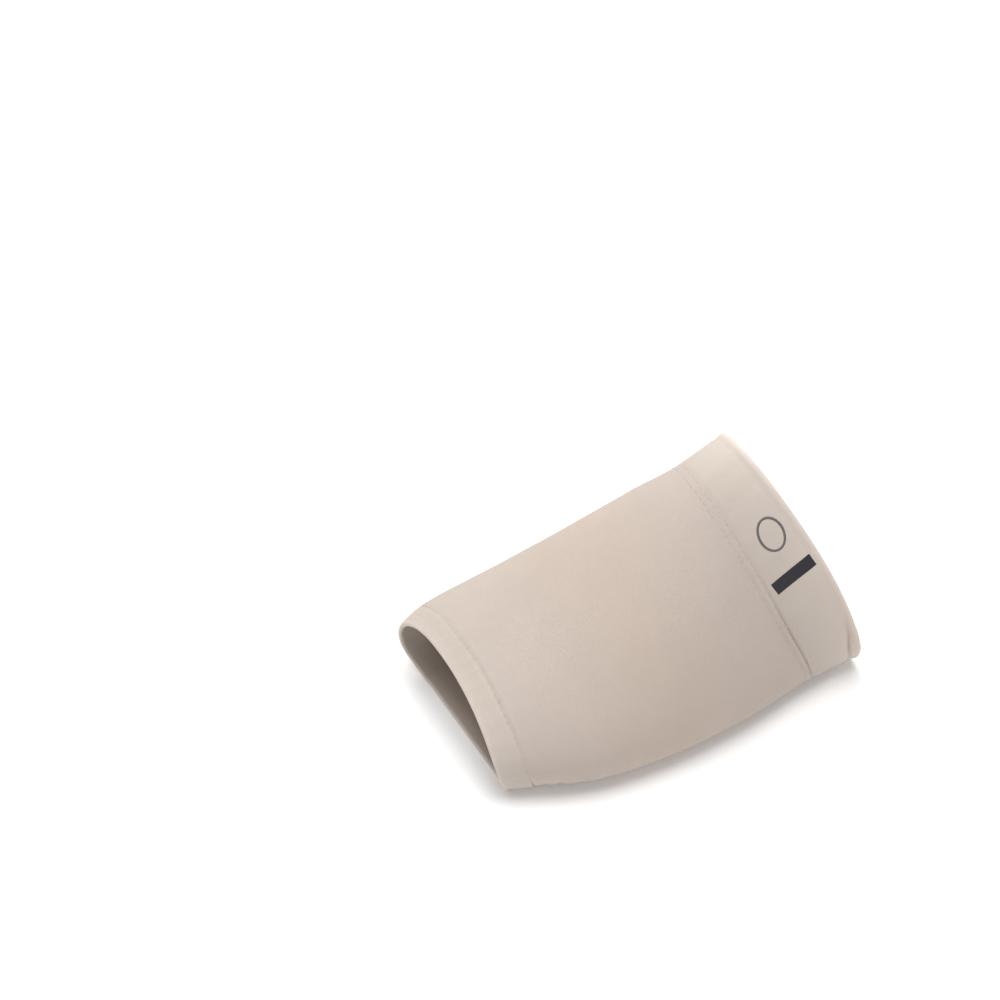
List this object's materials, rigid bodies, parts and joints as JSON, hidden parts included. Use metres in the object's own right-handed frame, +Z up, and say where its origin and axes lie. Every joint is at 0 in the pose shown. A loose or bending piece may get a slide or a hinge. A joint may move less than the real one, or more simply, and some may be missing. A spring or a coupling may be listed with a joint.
{
  "type": "arch support sleeve",
  "caption": "Stretch-knit arch support sleeve for a left foot, open at the toes and the ankle, with a folded toe hem and a wide sewn cuff, in the form it takes when worn.",
  "frame": {"origin": "where the foot stands: on the inside of the sole, half-way along the sleeve, over the middle of the foot", "axes": "+X to the outer, little-toe side of a left foot, +Y back to the heel, +Z up from the sole"},
  "size_m": [0.0873, 0.1441, 0.0879],
  "materials": {
    "hem_knit": "matte",
    "tube_knit": "matte",
    "cuff_knit": "matte"
  },
  "bodies": {
    "root": {"toe_hem": "hem_knit", "sleeve_tube": "tube_knit", "ankle_cuff": "cuff_knit"}
  },
  "joints": []
}
